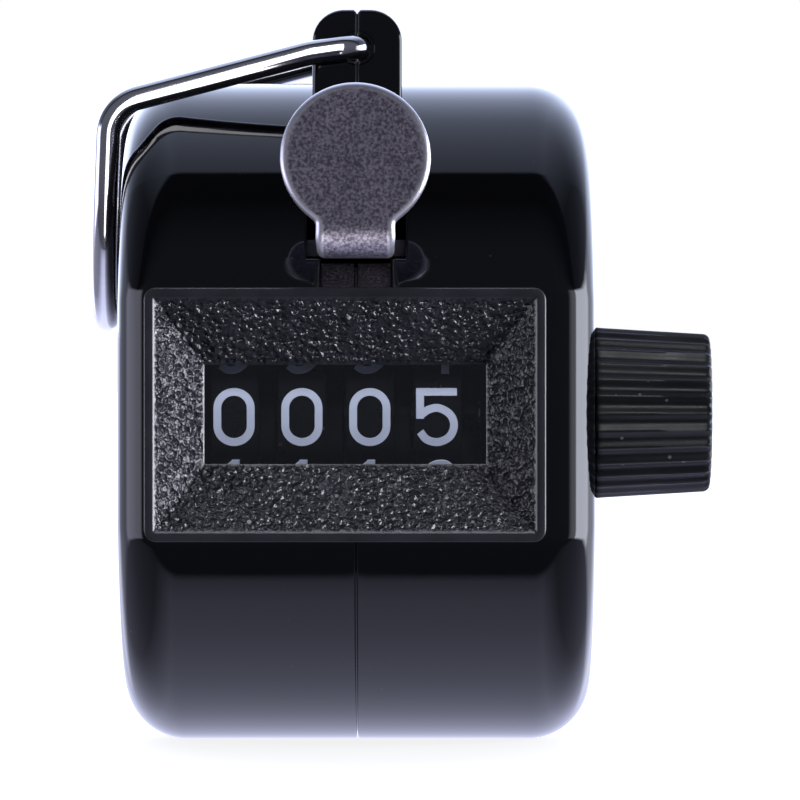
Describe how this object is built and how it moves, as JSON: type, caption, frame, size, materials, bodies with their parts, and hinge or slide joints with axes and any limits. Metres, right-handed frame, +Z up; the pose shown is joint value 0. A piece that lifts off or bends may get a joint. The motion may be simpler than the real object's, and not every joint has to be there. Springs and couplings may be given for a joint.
{
  "type": "hand tally counter",
  "caption": "Round-cased hand tally counter with a number window, thumb lever, fluted reset knob and wire finger ring.",
  "frame": {"origin": "on the axis of the round case, in the plane where its two halves meet", "axes": "+X along the case's axis towards the reset knob, -Y towards the number window, +Z up towards the finger ring's lug"},
  "size_m": [0.0465, 0.0548, 0.0553],
  "materials": {
    "case_black": "polished moulded black",
    "bezel_black": "leather-grained funnel faces, plain rim",
    "lens_clear": "clear moulded window",
    "knob_black": "satin",
    "wheel_black": "satin black with printed white digits",
    "lever_plated": "nickel-plated, finely textured",
    "ring_chrome": "bright plated wire",
    "frame_steel": "zinc plated",
    "rod_steel": "drawn bright",
    "spring_steel": "drawn",
    "spacer_black": "turned black acetal",
    "pawl_nylon": "natural nylon"
  },
  "bodies": {
    "case": {"left_shell": "case_black", "right_shell": "case_black", "window_bezel": "bezel_black", "window_lens": "lens_clear", "left_side_plate": "frame_steel", "right_side_plate": "frame_steel", "fulcrum_rod": "rod_steel", "detent_rod": "rod_steel", "rear_post": "rod_steel", "left_spacer": "spacer_black", "right_spacer": "spacer_black", "detent_comb": "spring_steel"},
    "lever": {"thumb_lever": "lever_plated", "return_spring": "spring_steel", "pawl_pin": "rod_steel", "pawl_spring": "spring_steel"},
    "pawl": {"drive_pawl": "pawl_nylon"},
    "reset": {"reset_shaft": "rod_steel", "reset_knob": "knob_black", "shaft_clip": "spring_steel"},
    "ring": {"finger_ring": "ring_chrome"},
    "thousands": {"thousands_wheel": "wheel_black", "thousands_reset_pawl": "spring_steel"},
    "hundreds": {"hundreds_wheel": "wheel_black", "hundreds_reset_pawl": "spring_steel"},
    "tens": {"tens_wheel": "wheel_black", "tens_reset_pawl": "spring_steel"},
    "units": {"units_wheel": "wheel_black", "units_reset_pawl": "spring_steel"}
  },
  "joints": [
    {"name": "lever_press", "type": "hinge", "parent": "case", "child": "lever", "pos_m": [0, -0.004, -0.014], "axis": [-1, 0, 0], "range_deg": [0, 14], "stiffness_Nm_per_rad": 0.25, "springref_deg": -17.19, "deforming": ["return_spring"]},
    {"name": "pawl_lift", "type": "hinge", "parent": "lever", "child": "pawl", "pos_m": [0, -0.0175, 0.0086], "axis": [1, 0, 0], "range_deg": [0, 10], "stiffness_Nm_per_rad": 0.002, "springref_deg": -17.19, "deforming": ["pawl_spring"]},
    {"name": "reset_turn", "type": "hinge", "parent": "case", "child": "reset", "pos_m": [0, -0.0105, 0], "axis": [1, 0, 0], "continuous": true},
    {"name": "ring_swing", "type": "hinge", "parent": "case", "child": "ring", "pos_m": [0, 0, 0.0274], "axis": [0, 1, 0], "range_deg": [0, 200]},
    {"name": "thousands_turn", "type": "hinge", "parent": "case", "child": "thousands", "pos_m": [-0.009, -0.0105, 0], "axis": [-1, 0, 0], "continuous": true},
    {"name": "hundreds_turn", "type": "hinge", "parent": "case", "child": "hundreds", "pos_m": [-0.004, -0.0105, 0], "axis": [-1, 0, 0], "continuous": true},
    {"name": "tens_turn", "type": "hinge", "parent": "case", "child": "tens", "pos_m": [0.001, -0.0105, 0], "axis": [-1, 0, 0], "continuous": true},
    {"name": "units_turn", "type": "hinge", "parent": "case", "child": "units", "pos_m": [0.006, -0.0105, 0], "axis": [-1, 0, 0], "continuous": true}
  ]
}
